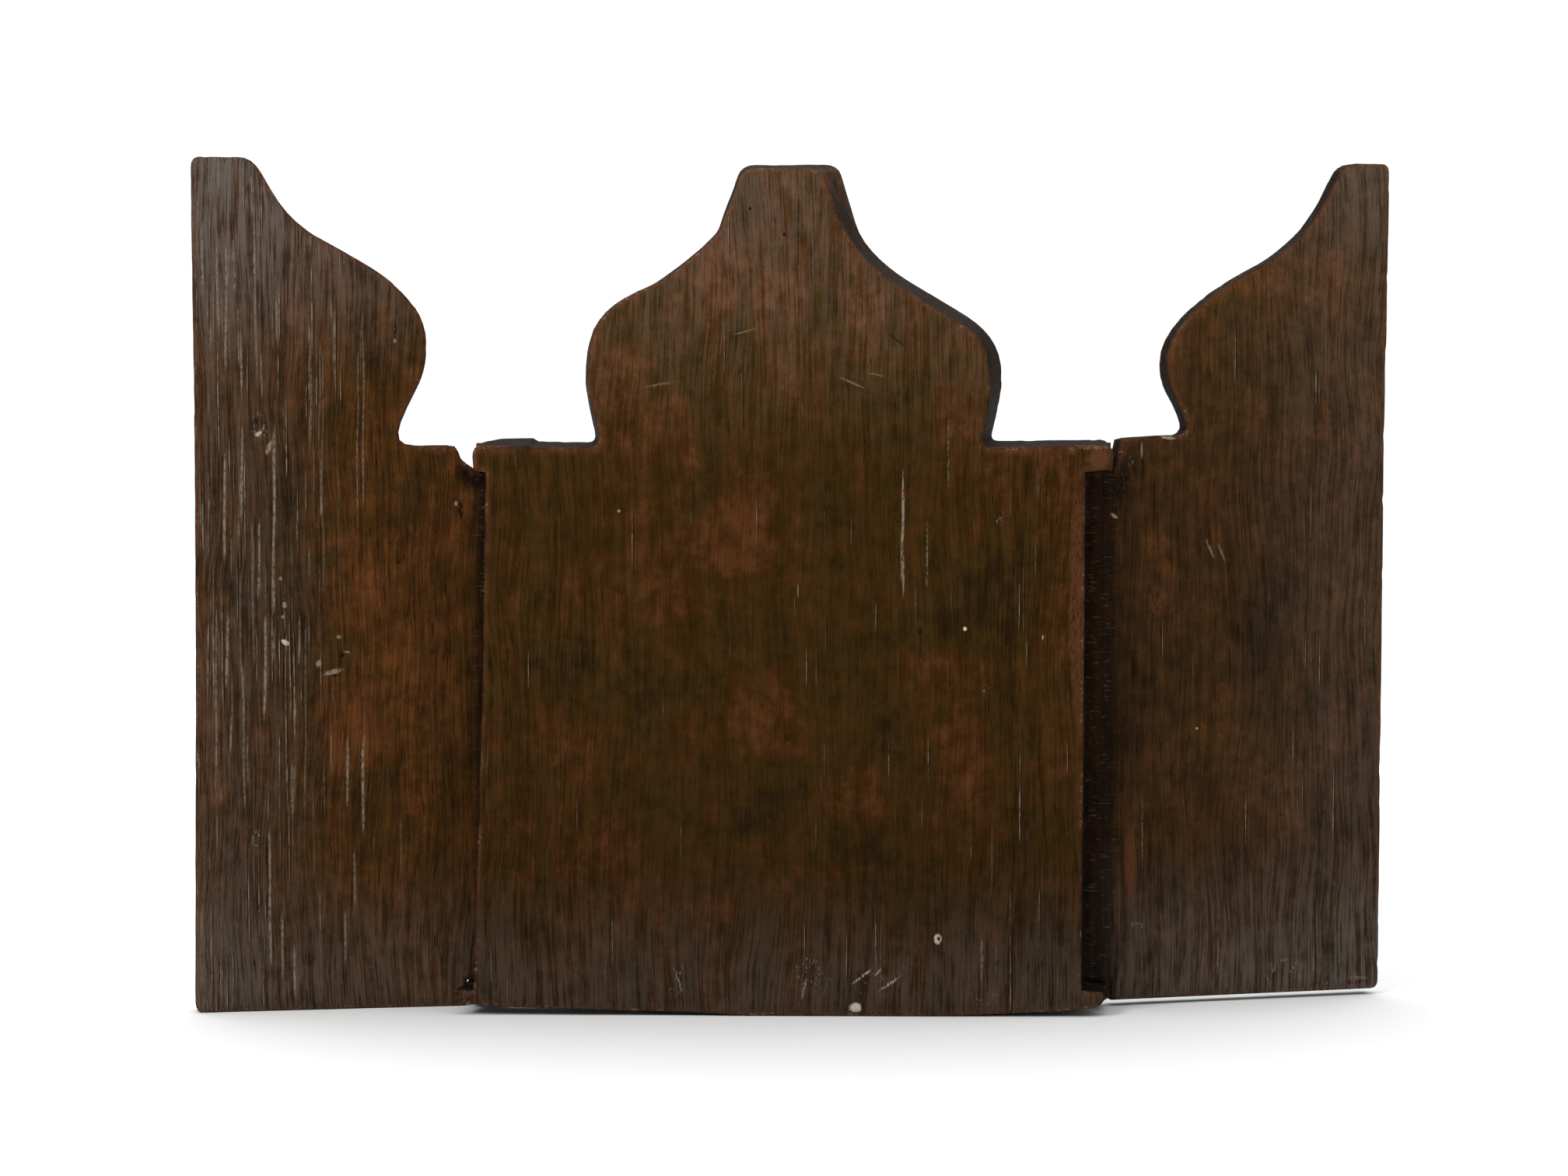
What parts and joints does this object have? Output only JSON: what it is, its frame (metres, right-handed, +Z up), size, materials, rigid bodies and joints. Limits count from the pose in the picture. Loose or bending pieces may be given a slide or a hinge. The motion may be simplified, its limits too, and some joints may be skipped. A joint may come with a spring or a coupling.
{
  "type": "triptych altarpiece",
  "caption": "Wooden folding triptych: a thick central panel with a keel dome, and two thin wings with half domes that turn on pegs in its corner lugs.",
  "frame": {"origin": "on the underside of the central panel, below its middle and half way through its thickness", "axes": "+Z up; the plain back of the triptych faces -Y and the side that the wings close over faces +Y; +X is to the right as seen from the back"},
  "size_m": [0.4301, 0.065, 0.3038],
  "materials": {
    "panel_wood": "old dark brown patina on hand-planed wood, upright grain, mottled copper and olive, rubbed edges",
    "left_wing_wood": "old dark brown patina, open upright grain with pale worn streaks along the outer half",
    "right_wing_wood": "old dark brown patina, close upright grain, greyer and duller than the other two boards"
  },
  "bodies": {
    "panel": {"central_panel": "panel_wood"},
    "wing_left": {"left_wing": "left_wing_wood"},
    "wing_right": {"right_wing": "right_wing_wood"}
  },
  "joints": [
    {"name": "left_wing_hinge", "type": "hinge", "parent": "panel", "child": "wing_left", "pos_m": [-0.1063, 0.017, 0.1], "axis": [0, 0, -1], "range_deg": [-3, 191]},
    {"name": "right_wing_hinge", "type": "hinge", "parent": "panel", "child": "wing_right", "pos_m": [0.1111, 0.017, 0.1], "axis": [0, 0, 1], "range_deg": [-20, 163]}
  ]
}
